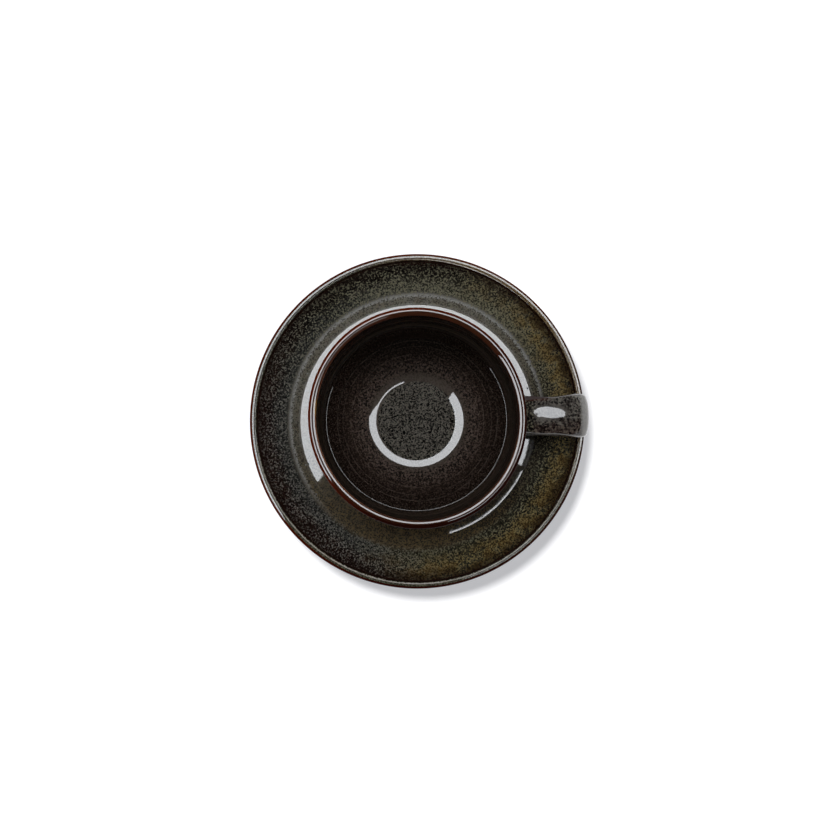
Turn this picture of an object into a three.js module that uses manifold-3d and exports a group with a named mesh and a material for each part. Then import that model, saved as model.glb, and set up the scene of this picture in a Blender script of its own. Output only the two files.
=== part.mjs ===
// Cappuccino cup with saucer in dark glazed stoneware, in millimetres with +Z up.
// The origin is the centre of the saucer's foot ring on the table, and the handle points along +X.
import * as THREE from "three";
import { mergeVertices } from "three/addons/utils/BufferGeometryUtils.js";
import Module from "manifold-3d";

// Saucer: a plate on a foot ring, with a flat well, a sloping rim and a raised round lip
const SAUCER_DIAMETER = 150;
const SAUCER_FOOT_DIAMETER = 88;
const SAUCER_FOOT_WIDTH = 4;
const SAUCER_FOOT_HEIGHT = 5.2;
const PLATE_THICKNESS = 5;
const WELL_DIAMETER = 106;
const WELL_DEPTH = 2.7;
const WELL_SIDE_WIDTH = 4.4;
const RIM_THICKNESS = 4.2;
const RIM_SLOPE = 12.5;
const SAUCER_LIP_WIDTH = 3.2;
const SAUCER_LIP_RISE = 2;
const SAUCER_EDGE_HEIGHT = 4.4;
const SEAT_DEPTH = 1;

// Cup: a straight-sided bowl on a foot ring, with a gently dished floor and a fine round lip
const CUP_RIM_DIAMETER = 94.4;
const CUP_HEIGHT = 60;
const CUP_FOOT_DIAMETER = 56;
const CUP_FOOT_WIDTH = 4;
const CUP_FOOT_HEIGHT = 3;
const CUP_BASE_THICKNESS = 5.5;
const CUP_LIP_THICKNESS = 2.7;
const INNER_DRAFT = 2;
const OUTER_DRAFT = 1.1;
const DISH_FLOOR_DIAMETER = 32;
const DISH_RADIUS = 33;
const BASE_FLARE = 20;
const BASE_FLARE_RADIUS = 24;
const HAUNCH_ANGLE = 45;
const HAUNCH_THICKNESS = 4;
const INNER_HAUNCH_RADIUS = 14;
const OUTER_HAUNCH_RADIUS = 15;

// Handle: a crowned strap that widens to its outer bend and is luted to the wall at both ends
const HANDLE_PROJECTION = 27.3;
const UPPER_ROOT_DROP = 14;
const UPPER_ARM_RISE = 1.4;
const LOWER_ROOT_HEIGHT = 18.5;
const BEND_RADIUS = 7;
const BEND_START = 78;
const BEND_END = -28;
const UPPER_ARM_FULLNESS = 0.33;
const LOWER_ARM_FULLNESS = 0.42;
const STRAP_THICKNESS = 5.4;
const STRAP_EDGE = 1.2;
const STRAP_CROWN = 1.2;
const STRAP_INNER_CROWN = 0.3;
const UPPER_ROOT_WIDTH = 14.6;
const ARM_WIDTH = 16.3;
const ARM_SHARE = 0.7;
const BEND_WIDTH = 19;
const LOWER_ROOT_WIDTH = 15;
const ROOT_FLARE = 2;
const ROOT_FLARE_LENGTH = 7;

// Roundings and gaps shared by the pieces
const FOOT_ROUNDING = 0.9;
const SOFT_ROUNDING = 2.4;
const LIP_ROUNDING_SHARE = 0.48;
const SEAT_CLEARANCE = 2.2;
const REST_GAP = 0.3;
const LUTE_GAP = 0.3;

// Glaze on each piece
const SAUCER_GLAZE = { color: 0x3a342b, roughness: 0.4, metalness: 0 };
const CUP_GLAZE = { color: 0x2b2420, roughness: 0.3, metalness: 0 };
const HANDLE_GLAZE = { color: 0x40362e, roughness: 0.3, metalness: 0 };

// Fineness of the facets
const TURN_STEPS = 60;
const SMALL_ARC_STEP = 30;
const LARGE_ARC_STEP = 9;
const LARGE_ARC_RADIUS = 10;
const STRAP_STATIONS = 30;
const SECTION_STEPS = 3;

const { clamp, degToRad, lerp, mapLinear, radToDeg, smoothstep } = THREE.MathUtils;
const slope = (degrees) => Math.tan(degToRad(degrees));

const wasm = await Module();
wasm.setup();

// A corner of a turned profile: its radius from the axis, its height and its rounding.
const corner = (r, z, rounding = 0) => ({ at: new THREE.Vector2(r, z), rounding });
const cornerAt = (at, rounding = 0) => ({ at, rounding });

// The profile through a list of corners. Each rounding is an arc, limited by the stretches beside it.
function roundedProfile(corners) {
  const stretch = (i) => corners[i].at.distanceTo(corners[i + 1].at);
  const sides = corners.map(({ at, rounding }, i) => {
    if (!rounding) return { setback: 0 };
    const back = corners[i - 1].at.clone().sub(at).normalize();
    const ahead = corners[i + 1].at.clone().sub(at).normalize();
    const half = Math.acos(clamp(back.dot(ahead), -1, 1)) / 2;
    return { back, ahead, half, setback: rounding / Math.tan(half) };
  });
  const room = (i) => Math.min(1, stretch(i) / (sides[i].setback + sides[i + 1].setback || 1));
  const points = [];
  corners.forEach(({ at, rounding }, i) => {
    if (!rounding) {
      points.push(at.clone());
      return;
    }
    const { back, ahead, half, setback } = sides[i];
    const fit = Math.min(room(i - 1), room(i));
    const turn = Math.PI - 2 * half;
    const toCentre = back.clone().add(ahead).normalize();
    const centre = at.clone().addScaledVector(toCentre, (fit * rounding) / Math.sin(half));
    const start = at.clone().addScaledVector(back, fit * setback).sub(centre);
    const side = Math.sign(back.cross(ahead));
    const step = rounding > LARGE_ARC_RADIUS ? LARGE_ARC_STEP : SMALL_ARC_STEP;
    const steps = Math.max(2, Math.ceil(radToDeg(turn) / step));
    for (let k = 0; k <= steps; k++) {
      const angle = (-side * turn * k) / steps;
      points.push(start.clone().rotateAround(new THREE.Vector2(), angle).add(centre));
    }
  });
  return points;
}

// The point where two lines meet, each given by a point and its slope angle in degrees.
function meet(p, angleP, q, angleQ) {
  const dirP = new THREE.Vector2(Math.cos(degToRad(angleP)), Math.sin(degToRad(angleP)));
  const dirQ = new THREE.Vector2(Math.cos(degToRad(angleQ)), Math.sin(degToRad(angleQ)));
  const along = q.clone().sub(p).cross(dirQ) / dirP.cross(dirQ);
  return p.clone().addScaledVector(dirP, along);
}

// An underside, as corners from the axis outwards, with a foot ring that stands down from it to height 0.
function withFootRing(underside, footRadius, footWidth) {
  const heightAt = (r) => {
    const outer = underside.findIndex(({ at }) => at.x >= r);
    const [low, high] = [underside[outer - 1].at, underside[outer].at];
    return mapLinear(r, low.x, high.x, low.y, high.y);
  };
  const footInner = footRadius - footWidth;
  return [
    ...underside.filter(({ at }) => at.x < footInner),
    corner(footInner, heightAt(footInner), FOOT_ROUNDING),
    corner(footInner, 0, FOOT_ROUNDING),
    corner(footRadius, 0, FOOT_ROUNDING),
    corner(footRadius, heightAt(footRadius), FOOT_ROUNDING),
    ...underside.filter(({ at }) => at.x > footRadius),
  ];
}

// A profile turned round the Z axis.
function turned(points) {
  return new THREE.LatheGeometry(points, TURN_STEPS).rotateX(Math.PI / 2);
}

// A closed geometry as a solid that can be cut.
function solidOf(geometry) {
  geometry.deleteAttribute("normal");
  geometry.deleteAttribute("uv");
  const merged = mergeVertices(geometry);
  return new wasm.Manifold(
    new wasm.Mesh({
      numProp: 3,
      vertProperties: merged.attributes.position.array,
      triVerts: new Uint32Array(merged.index.array),
    }),
  );
}

// A cut solid as a geometry again.
function geometryOf(solid) {
  const mesh = solid.getMesh();
  const geometry = new THREE.BufferGeometry();
  geometry.setAttribute("position", new THREE.BufferAttribute(mesh.vertProperties, 3));
  geometry.setIndex(new THREE.BufferAttribute(mesh.triVerts, 1));
  geometry.computeVertexNormals();
  return geometry;
}

// A closed skin over rings of points, one ring for each station, with flat ends.
function loft(rings) {
  const count = rings[0].length;
  const positions = rings.flat().flatMap((p) => p.toArray());
  const index = [];
  for (let i = 0; i + 1 < rings.length; i++) {
    for (let k = 0; k < count; k++) {
      const a = i * count + k;
      const b = i * count + ((k + 1) % count);
      index.push(a, b, a + count, b, b + count, a + count);
    }
  }
  const last = (rings.length - 1) * count;
  for (let k = 1; k + 1 < count; k++) {
    index.push(0, k + 1, k);
    index.push(last, last + k, last + k + 1);
  }
  const geometry = new THREE.BufferGeometry();
  geometry.setAttribute("position", new THREE.Float32BufferAttribute(positions, 3));
  geometry.setIndex(index);
  return geometry;
}

// Saucer
const saucerRadius = SAUCER_DIAMETER / 2;
const wellRadius = WELL_DIAMETER / 2;
const vergeRadius = wellRadius + WELL_SIDE_WIDTH;
const lipInnerRadius = saucerRadius - SAUCER_LIP_WIDTH;
const lipRounding = LIP_ROUNDING_SHARE * SAUCER_LIP_WIDTH;
const seatRadius = CUP_FOOT_DIAMETER / 2 + SEAT_CLEARANCE;
const wellHeight = SAUCER_FOOT_HEIGHT + PLATE_THICKNESS;
const vergeHeight = wellHeight + WELL_DEPTH;
const rimHeight = vergeHeight + (lipInnerRadius - vergeRadius) * slope(RIM_SLOPE);
const lipHeight = rimHeight + SAUCER_LIP_RISE;
const seatHeight = wellHeight - SEAT_DEPTH;

function saucerProfile() {
  const underside = [
    corner(0, SAUCER_FOOT_HEIGHT),
    corner(wellRadius, wellHeight - RIM_THICKNESS, SOFT_ROUNDING),
    corner(saucerRadius, lipHeight - SAUCER_EDGE_HEIGHT, lipRounding),
  ];
  return roundedProfile([
    ...withFootRing(underside, SAUCER_FOOT_DIAMETER / 2, SAUCER_FOOT_WIDTH),
    corner(saucerRadius, lipHeight, lipRounding),
    corner(lipInnerRadius, lipHeight, lipRounding),
    corner(lipInnerRadius, rimHeight),
    corner(vergeRadius, vergeHeight, SOFT_ROUNDING),
    corner(wellRadius, wellHeight, SOFT_ROUNDING),
    corner(seatRadius, wellHeight, SEAT_DEPTH / 2),
    corner(seatRadius - SEAT_DEPTH / 2, seatHeight),
    corner(0, seatHeight),
  ]);
}

// Cup
const rimRadius = CUP_RIM_DIAMETER / 2;
const cupLipRounding = LIP_ROUNDING_SHARE * CUP_LIP_THICKNESS;
const dishFloorHeight = CUP_FOOT_HEIGHT + CUP_BASE_THICKNESS;
const dishCentre = new THREE.Vector2(DISH_FLOOR_DIAMETER / 2, dishFloorHeight + DISH_RADIUS);

// The point on the dish where it has risen to a slope, or as deep into the wall below that point.
function onDish(slopeAngle, depth) {
  const outward = new THREE.Vector2(Math.sin(degToRad(slopeAngle)), -Math.cos(degToRad(slopeAngle)));
  return dishCentre.clone().addScaledVector(outward, DISH_RADIUS + depth);
}

// The outside of the cup from the axis to the rim: flat base, flare, haunch and nearly upright wall.
const axisBase = new THREE.Vector2(0, CUP_FOOT_HEIGHT);
const outerRim = new THREE.Vector2(rimRadius, CUP_HEIGHT);
const innerRim = new THREE.Vector2(rimRadius - CUP_LIP_THICKNESS, CUP_HEIGHT);
const flarePoint = onDish(BASE_FLARE, CUP_BASE_THICKNESS);
const outerHaunch = onDish(HAUNCH_ANGLE, HAUNCH_THICKNESS);
const cupOutside = withFootRing(
  [
    cornerAt(axisBase),
    cornerAt(meet(axisBase, 0, flarePoint, BASE_FLARE), SOFT_ROUNDING),
    cornerAt(meet(flarePoint, BASE_FLARE, outerHaunch, HAUNCH_ANGLE), BASE_FLARE_RADIUS),
    cornerAt(meet(outerHaunch, HAUNCH_ANGLE, outerRim, 90 - OUTER_DRAFT), OUTER_HAUNCH_RADIUS),
    cornerAt(outerRim, cupLipRounding),
  ],
  CUP_FOOT_DIAMETER / 2,
  CUP_FOOT_WIDTH,
);

function cupProfile() {
  const floor = new THREE.Vector2(0, dishFloorHeight);
  const innerHaunch = onDish(HAUNCH_ANGLE, 0);
  return roundedProfile([
    ...cupOutside,
    cornerAt(innerRim, cupLipRounding),
    cornerAt(meet(innerHaunch, HAUNCH_ANGLE, innerRim, 90 - INNER_DRAFT), INNER_HAUNCH_RADIUS),
    cornerAt(meet(floor, 0, innerHaunch, HAUNCH_ANGLE), DISH_RADIUS),
    cornerAt(floor),
  ]);
}

// The cup's outside closed across its rim, and its radius at a height above the foot.
const wallPoints = roundedProfile([...cupOutside, cornerAt(innerRim), corner(0, CUP_HEIGHT)]);
function wallRadiusAt(z) {
  const above = wallPoints.findLastIndex((p, i) => i > 0 && p.y >= z && wallPoints[i - 1].y < z);
  const [low, high] = [wallPoints[above - 1], wallPoints[above]];
  return mapLinear(z, low.y, high.y, low.x, high.x);
}

// The room that the cup takes, grown by the luting gap, which trims both ends of the handle.
function cupClearance() {
  return turned(wallPoints.map((p) => new THREE.Vector2(p.x && p.x + LUTE_GAP, p.y)));
}

// Handle: the strap's centre line, as radius from the axis and height. It starts and ends inside the wall.
function strapLine() {
  const rootAt = (z) => new THREE.Vector2(wallRadiusAt(z) - STRAP_THICKNESS, z);
  const start = rootAt(CUP_HEIGHT - UPPER_ROOT_DROP);
  const end = rootAt(LOWER_ROOT_HEIGHT);
  const bend = new THREE.Vector2(
    rimRadius + HANDLE_PROJECTION - STRAP_THICKNESS / 2 - BEND_RADIUS,
    start.y + UPPER_ARM_RISE - BEND_RADIUS,
  );
  const direction = (degrees) => new THREE.Vector2(Math.cos(degToRad(degrees)), Math.sin(degToRad(degrees)));
  const bendStart = bend.clone().addScaledVector(direction(BEND_START), BEND_RADIUS);
  const bendEnd = bend.clone().addScaledVector(direction(BEND_END), BEND_RADIUS);
  const upperPull = UPPER_ARM_FULLNESS * start.distanceTo(bendStart);
  const lowerPull = LOWER_ARM_FULLNESS * end.distanceTo(bendEnd);
  const upperControl = bendStart.clone().addScaledVector(direction(BEND_START + 90), upperPull);
  const lowerControl = bendEnd.clone().addScaledVector(direction(BEND_END - 90), lowerPull);
  const line = new THREE.Path();
  line.curves.push(
    new THREE.CubicBezierCurve(
      start,
      new THREE.Vector2(start.x + upperPull, start.y + UPPER_ARM_RISE),
      upperControl,
      bendStart,
    ),
    new THREE.ArcCurve(bend.x, bend.y, BEND_RADIUS, degToRad(BEND_START), degToRad(BEND_END), true),
    new THREE.CubicBezierCurve(bendEnd, lowerControl, new THREE.Vector2(end.x + lowerPull, end.y), end),
  );
  return line;
}

// The strap's section, across and outwards from its centre: a crowned outer face and a flatter inner one.
// A flare spreads the inner face, so that the sides lean out where the strap meets the wall.
function strapSection(width, flare) {
  const half = width / 2;
  const foot = half + flare;
  const middle = half + flare / 2;
  const outer = STRAP_THICKNESS / 2 - STRAP_CROWN;
  const inner = STRAP_INNER_CROWN - STRAP_THICKNESS / 2;
  const section = new THREE.Path();
  section.moveTo(middle, 0);
  section.quadraticCurveTo(half, outer, half - STRAP_EDGE, outer);
  section.quadraticCurveTo(0, outer + 2 * STRAP_CROWN, STRAP_EDGE - half, outer);
  section.quadraticCurveTo(-half, outer, -middle, 0);
  section.quadraticCurveTo(-foot, inner, STRAP_EDGE - foot, inner);
  section.quadraticCurveTo(0, inner - 2 * STRAP_INNER_CROWN, foot - STRAP_EDGE, inner);
  section.quadraticCurveTo(foot, inner, middle, 0);
  return section.getPoints(SECTION_STEPS).slice(0, -1);
}

// The strap's width at a distance along it: it swells from each root to the bend.
function strapWidth(distance, armLength, bendDistance, length) {
  const widen = (from, to, start, end) => lerp(from, to, smoothstep(distance, start, end));
  if (distance < armLength) return widen(UPPER_ROOT_WIDTH, ARM_WIDTH, 0, armLength);
  if (distance < bendDistance) return widen(ARM_WIDTH, BEND_WIDTH, armLength, bendDistance);
  return widen(BEND_WIDTH, LOWER_ROOT_WIDTH, bendDistance, length);
}

// The flare at a distance along the strap: full at the wall and faded out past it.
function strapFlare(distance, length) {
  const fromWall = Math.min(distance, length - distance) - STRAP_THICKNESS;
  return ROOT_FLARE * (1 - smoothstep(fromWall, 0, ROOT_FLARE_LENGTH));
}

function handleGeometry() {
  const line = strapLine();
  const [upperEnd, bendEnd, length] = line.getCurveLengths();
  const bendMiddle = (upperEnd + bendEnd) / 2;
  const rings = [];
  for (let i = 0; i <= STRAP_STATIONS; i++) {
    const share = i / STRAP_STATIONS;
    const at = line.getPointAt(share);
    const along = line.getTangentAt(share);
    const distance = share * length;
    const width = strapWidth(distance, ARM_SHARE * upperEnd, bendMiddle, length);
    const section = strapSection(width, strapFlare(distance, length));
    rings.push(section.map((p) => new THREE.Vector3(at.x - along.y * p.y, p.x, at.y + along.x * p.y)));
  }
  return geometryOf(solidOf(loft(rings)).subtract(solidOf(cupClearance())));
}

// Assembly
function piece(name, geometry, glaze) {
  const mesh = new THREE.Mesh(geometry, new THREE.MeshStandardMaterial(glaze));
  mesh.name = name;
  return mesh;
}

const cup = new THREE.Group();
cup.position.z = seatHeight + REST_GAP;
cup.add(
  piece("cup_body", turned(cupProfile()), CUP_GLAZE),
  piece("cup_handle", handleGeometry(), HANDLE_GLAZE),
);

const cupWithSaucer = new THREE.Group();
cupWithSaucer.add(piece("saucer", turned(saucerProfile()), SAUCER_GLAZE), cup);

export default cupWithSaucer;
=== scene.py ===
"""A cappuccino cup with its saucer in dark reactive glaze, seen from above on a white table."""
import math

import bpy
import numpy as np
from mathutils import Matrix, Vector
from mathutils.geometry import interpolate_bezier


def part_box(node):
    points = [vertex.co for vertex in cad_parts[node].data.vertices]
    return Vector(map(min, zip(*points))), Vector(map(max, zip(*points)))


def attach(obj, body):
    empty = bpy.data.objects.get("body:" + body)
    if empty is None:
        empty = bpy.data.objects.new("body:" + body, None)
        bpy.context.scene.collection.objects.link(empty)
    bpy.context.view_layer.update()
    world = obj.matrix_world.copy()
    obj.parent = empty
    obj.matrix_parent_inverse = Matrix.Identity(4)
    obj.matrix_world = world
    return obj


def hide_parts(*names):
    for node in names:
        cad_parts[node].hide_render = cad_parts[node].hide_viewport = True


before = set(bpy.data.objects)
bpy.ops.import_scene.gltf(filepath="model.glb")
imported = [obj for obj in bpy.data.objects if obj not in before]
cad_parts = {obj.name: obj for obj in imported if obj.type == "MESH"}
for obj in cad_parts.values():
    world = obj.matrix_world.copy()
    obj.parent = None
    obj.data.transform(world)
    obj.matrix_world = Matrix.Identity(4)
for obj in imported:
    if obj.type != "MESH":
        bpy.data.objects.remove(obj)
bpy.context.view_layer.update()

MM = 0.001
SAUCER_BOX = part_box("saucer")
CUP_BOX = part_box("cup_body")
HANDLE_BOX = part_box("cup_handle")

# Saucer, in millimetres
SAUCER_RADIUS = SAUCER_BOX[1].x / MM
SAUCER_FOOT_RADIUS = 44
SAUCER_FOOT_WIDTH = 4
SAUCER_FOOT_HEIGHT = 5.2
UNDERSIDE_RISE = 0.6
FOOT_OUTSIDE_RISE = 0.66
WELL_RADIUS = 53.5
WELL_HEIGHT = 10.2
RIM_THICKNESS = 4.2
VERGE_RADIUS = 57.4
VERGE_HEIGHT = 12.3
RIM_HEIGHT = 16.1
LIP_WIDTH = 3.1
LIP_HEIGHT = SAUCER_BOX[1].z / MM
LIP_EDGE = 4.4
LIP_CREST = 1.6
LIP_CROWN = 7
LIP_LEAN = 0.2
# The lip's crest lies a little further out towards one side
CREST_SET_OFF = 0.16
CREST_TURN = math.radians(-20)
CREST_SWAY_START = 67
CREST_SWAY_RUN = 4.5
EDGE_SWAY_RUN = 3
SEAT_RADIUS = 30.2
SEAT_DEPTH = 1
WELL_ROUNDING = 1.2
VERGE_ROUNDING = 9

# Cup, in millimetres above the table
CUP_FOOT = CUP_BOX[0].z / MM
CUP_RIM = CUP_BOX[1].z / MM
RIM_RADIUS = CUP_BOX[1].x / MM
CUP_FOOT_RADIUS = 28
CUP_FOOT_WIDTH = 4
CUP_FOOT_HEIGHT = 3
CUP_BASE = CUP_FOOT + CUP_FOOT_HEIGHT
BASE_THICKNESS = 5.5
DISH_FLOOR = CUP_BASE + BASE_THICKNESS
DISH_FLOOR_RADIUS = 16
DISH_RADIUS = 33
BOWL_FLOOR_RADIUS = 15.4
BOWL_RADIUS = 41
BOWL_SLOPE = math.radians(38)
# The bowl sits a little off centre, and the mouth is slightly oval and leans
BOWL_SET_OFF = -0.7
SET_OFF_TOP = 36
SET_OFF_RUN = 18
OVAL = ((-0.004, -0.0065, 0), (-0.0065, 0.008, 0), (0, 0, 0))
RIM_LEAN = (-0.24, -0.24, 0)
OVAL_START = 25
OVAL_RUN = 44
BASE_FLARE = math.radians(20)
BASE_FLARE_RADIUS = 24
HAUNCH = math.radians(45)
HAUNCH_THICKNESS = 4
INNER_HAUNCH_RADIUS = 7
OUTER_HAUNCH_RADIUS = 15
CUP_LIP = 3.5
CUP_LIP_CREST = 1.6
CUP_LIP_CROWN = 7.3
INNER_DRAFT = math.radians(0.4)
OUTER_DRAFT = math.radians(1.1)

# Handle, in millimetres above the table
HANDLE_REACH = HANDLE_BOX[1].x / MM + 0.5
STRAP_THICKNESS = 5.4
STRAP_CROWN = 0.475
CROWN_CURVE = 0.03
DOME_LINE = 1.9
DOME_LIMIT = 0.97
DOME_WIDTH = 4
DOME_FOOT = 8
BEND_DOME = 1.2
BEND_DOME_START = 64
BEND_DOME_END = 72
ARM_MIDDLE = 60
ARM_FLAT = 9.4
STRAP_EDGE = 1.2
STRAP_INNER_CROWN = 0.3
UPPER_ROOT = CUP_RIM - 12.1
UPPER_RISE = -0.5
UPPER_LEVEL = 0.05
LOWER_ROOT = CUP_FOOT + 18.5
BEND_RADIUS = 8.2
BEND_START = math.radians(86)
BEND_END = math.radians(-28)
UPPER_FULLNESS = 0.33
LOWER_FULLNESS = 0.42
UPPER_ROOT_WIDTH = 14.6
ARM_WIDTH = 16.3
ARM_SHARE = 0.7
BEND_WIDTH = 19
LOWER_ROOT_WIDTH = 15
ROOT_FLARE = 1.8
LOW_SIDE_FLARE = 0.1
ROOT_FLARE_LENGTH = 11
ROOT_FLARE_EASE = 5
ROOT_SINK = 0.6
LUTE_FILLET = 3.4
LUTE_RISE = 0.35

# Roundings and fineness
FOOT_ROUNDING = 0.9
SOFT_ROUNDING = 2.4
BEVEL = 0.9
BEVEL_SLOPE = math.radians(36)
BROW_ROUNDING = 0.5
EDGE_ROUNDING = 0.2
CROWN_OUT = math.radians(4.2)
CROWN_IN = math.radians(11.5)
INNER_EDGE_ROUNDING = 0.28
TURN_STEPS = 256
ARC_STEP = math.radians(7.5)
RUN_STEP = 0.7
STRAP_STEP = 0.5
SECTION_RUNS = 12
MERGE_GAP = 0.002
SHARP_ANGLE = math.radians(60)


def smooth(value, low, high):
    """Rises softly from 0 at low to 1 at high."""
    share = min(max((value - low) / (high - low), 0), 1)
    return share * share * (3 - 2 * share)


def select_none():
    bpy.ops.object.select_all(action="DESELECT")


def select_only(piece):
    select_none()
    piece.select_set(True)
    bpy.context.view_layer.objects.active = piece


# Profiles of turned pieces: corners are (radius, height, rounding)
def meet(p, angle_p, q, angle_q):
    """The point where two lines meet, each through a point at a slope angle."""
    along_p = Vector((math.cos(angle_p), math.sin(angle_p)))
    along_q = Vector((math.cos(angle_q), math.sin(angle_q)))
    gap = Vector(q) - Vector(p)
    spread = along_p.x * along_q.y - along_p.y * along_q.x
    reach = (gap.x * along_q.y - gap.y * along_q.x) / spread
    return Vector(p) + along_p * reach


def rounded(corners):
    """The points of a profile, with each corner's rounding as an arc."""
    spots = [Vector(corner[:2]) for corner in corners]
    points = [spots[0]]
    for i in range(1, len(spots)):
        rounding = corners[i][2] if len(corners[i]) > 2 else 0
        if not rounding:
            points.append(spots[i])
            continue
        back = (spots[i - 1] - spots[i]).normalized()
        ahead = (spots[i + 1] - spots[i]).normalized()
        half = back.angle(ahead) / 2
        turn = math.pi - 2 * half
        side = -1 if back.x * ahead.y - back.y * ahead.x > 0 else 1
        centre = spots[i] + (back + ahead).normalized() * rounding / math.sin(half)
        spoke = spots[i] + back * rounding / math.tan(half) - centre
        steps = max(3, math.ceil(turn / ARC_STEP), math.ceil(turn * rounding / RUN_STEP))
        for k in range(steps + 1):
            angle = side * turn * k / steps
            swung = Vector((
                spoke.x * math.cos(angle) - spoke.y * math.sin(angle),
                spoke.x * math.sin(angle) + spoke.y * math.cos(angle),
            ))
            points.append(centre + swung)
    return points


def divided(points):
    """The same profile with no run longer than a step."""
    fine = [points[0]]
    for a, b in zip(points, points[1:]):
        runs = max(1, math.ceil((b - a).length / RUN_STEP))
        fine += [a.lerp(b, k / runs) for k in range(1, runs + 1)]
    return fine


def drawn(name, start, steps):
    """Draws a line from one vertex by extrusion, and leaves it in edit mode."""
    select_none()
    bpy.ops.mesh.primitive_plane_add(size=MM)
    piece = bpy.context.object
    piece.name = piece.data.name = name
    bpy.ops.object.mode_set(mode="EDIT")
    bpy.ops.mesh.select_mode(type="VERT")
    bpy.ops.mesh.select_all(action="SELECT")
    bpy.ops.mesh.merge(type="CENTER")
    bpy.ops.transform.translate(value=start)
    for step in steps:
        bpy.ops.mesh.extrude_vertices_move(TRANSFORM_OT_translate={"value": step})
    return piece


def turned(name, points):
    """Draws a profile and turns it round the Z axis."""
    start = (points[0].x * MM, 0, points[0].y * MM)
    steps = [(b - a) * MM for a, b in zip(points, points[1:])]
    piece = drawn(name, start, [(step.x, 0, step.y) for step in steps])
    bpy.ops.object.mode_set(mode="OBJECT")
    lathe = piece.modifiers.new("lathe", "SCREW")
    lathe.steps = TURN_STEPS
    lathe.render_steps = TURN_STEPS
    lathe.use_merge_vertices = True
    lathe.merge_threshold = MERGE_GAP * MM
    bpy.ops.object.modifier_apply(modifier="lathe")
    bpy.ops.object.mode_set(mode="EDIT")
    bpy.ops.mesh.select_all(action="SELECT")
    bpy.ops.mesh.remove_doubles(threshold=MERGE_GAP * MM)
    bpy.ops.mesh.normals_make_consistent(inside=False)
    bpy.ops.object.mode_set(mode="OBJECT")
    bpy.ops.object.shade_smooth()
    return piece


def move_skin(piece, shift):
    """Moves each vertex by a shift in millimetres that depends on its place and normal."""
    mesh = piece.data
    spots = np.empty(3 * len(mesh.vertices))
    normals = np.empty(3 * len(mesh.vertices))
    mesh.vertices.foreach_get("co", spots)
    mesh.vertex_normals.foreach_get("vector", normals)
    spots = spots.reshape(-1, 3) / MM
    spots += shift(spots, normals.reshape(-1, 3))
    mesh.vertices.foreach_set("co", spots.ravel() * MM)
    mesh.update()


def crowned_lip(outer, top, width, crest, crown):
    """Corners over the top of a lip: a bevelled outer edge, then a long crown to the inner edge."""
    half = (CROWN_OUT + CROWN_IN) / 2
    lean = (CROWN_IN - CROWN_OUT) / 2
    reach = crown / math.cos(half)
    ridge = Vector((
        outer - crest - reach * math.sin(lean),
        top - crown + reach * math.cos(lean),
    ))
    brow = outer - BEVEL
    brow_height = ridge.y - (brow - ridge.x) * math.tan(CROWN_OUT)
    inner = outer - width
    return [
        (outer, brow_height - BEVEL * math.tan(BEVEL_SLOPE), EDGE_ROUNDING),
        (brow, brow_height, BROW_ROUNDING),
        (*ridge, crown),
        (inner, ridge.y - (ridge.x - inner) * math.tan(CROWN_IN), INNER_EDGE_ROUNDING),
    ]


# Saucer
def make_saucer():
    lip_inner = SAUCER_RADIUS - LIP_WIDTH
    foot_inner = SAUCER_FOOT_RADIUS - SAUCER_FOOT_WIDTH
    profile = rounded([
        (0, SAUCER_FOOT_HEIGHT),
        (foot_inner, SAUCER_FOOT_HEIGHT + UNDERSIDE_RISE, FOOT_ROUNDING),
        (foot_inner, 0, FOOT_ROUNDING),
        (SAUCER_FOOT_RADIUS, 0, FOOT_ROUNDING),
        (SAUCER_FOOT_RADIUS, SAUCER_FOOT_HEIGHT + FOOT_OUTSIDE_RISE, FOOT_ROUNDING),
        (WELL_RADIUS, WELL_HEIGHT - RIM_THICKNESS, SOFT_ROUNDING),
        (SAUCER_RADIUS, LIP_HEIGHT - LIP_EDGE, FOOT_ROUNDING),
        *crowned_lip(SAUCER_RADIUS, LIP_HEIGHT, LIP_WIDTH, LIP_CREST, LIP_CROWN),
        (lip_inner - LIP_LEAN, RIM_HEIGHT, INNER_EDGE_ROUNDING),
        (VERGE_RADIUS, VERGE_HEIGHT, VERGE_ROUNDING),
        (WELL_RADIUS, WELL_HEIGHT, WELL_ROUNDING),
        (SEAT_RADIUS, WELL_HEIGHT, SEAT_DEPTH / 2),
        (SEAT_RADIUS - SEAT_DEPTH / 2, WELL_HEIGHT - SEAT_DEPTH),
        (0, WELL_HEIGHT - SEAT_DEPTH),
    ])
    saucer = turned("saucer_plate", divided(profile))

    def uneven_lip(spots, normals):
        r = np.hypot(spots[:, 0], spots[:, 1])
        across = spots / np.maximum(r, 1)[:, None] * (1, 1, 0)
        inner = np.clip((r - CREST_SWAY_START) / CREST_SWAY_RUN, 0, 1)
        outer = np.clip((r - SAUCER_RADIUS + BEVEL) / BEVEL, 0, 1)
        above = np.clip((spots[:, 2] - LIP_HEIGHT + LIP_EDGE) / EDGE_SWAY_RUN, 0, 1)
        side = (math.cos(CREST_TURN), math.sin(CREST_TURN), 0)
        push = CREST_SET_OFF * (1 + across @ side)
        out = push * inner * (1 - outer) * (normals[:, 2] > 0.1)
        up = push * math.tan(BEVEL_SLOPE) * outer * above
        return across * out[:, None] + np.outer(up, (0, 0, 1))

    move_skin(saucer, uneven_lip)
    return saucer


# Cup
def on_dish(slope, depth):
    """The point at a depth under the dished floor, where the floor has risen to a slope."""
    reach = DISH_RADIUS + depth
    return Vector((
        DISH_FLOOR_RADIUS + reach * math.sin(slope),
        DISH_FLOOR + DISH_RADIUS - reach * math.cos(slope),
    ))


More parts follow.
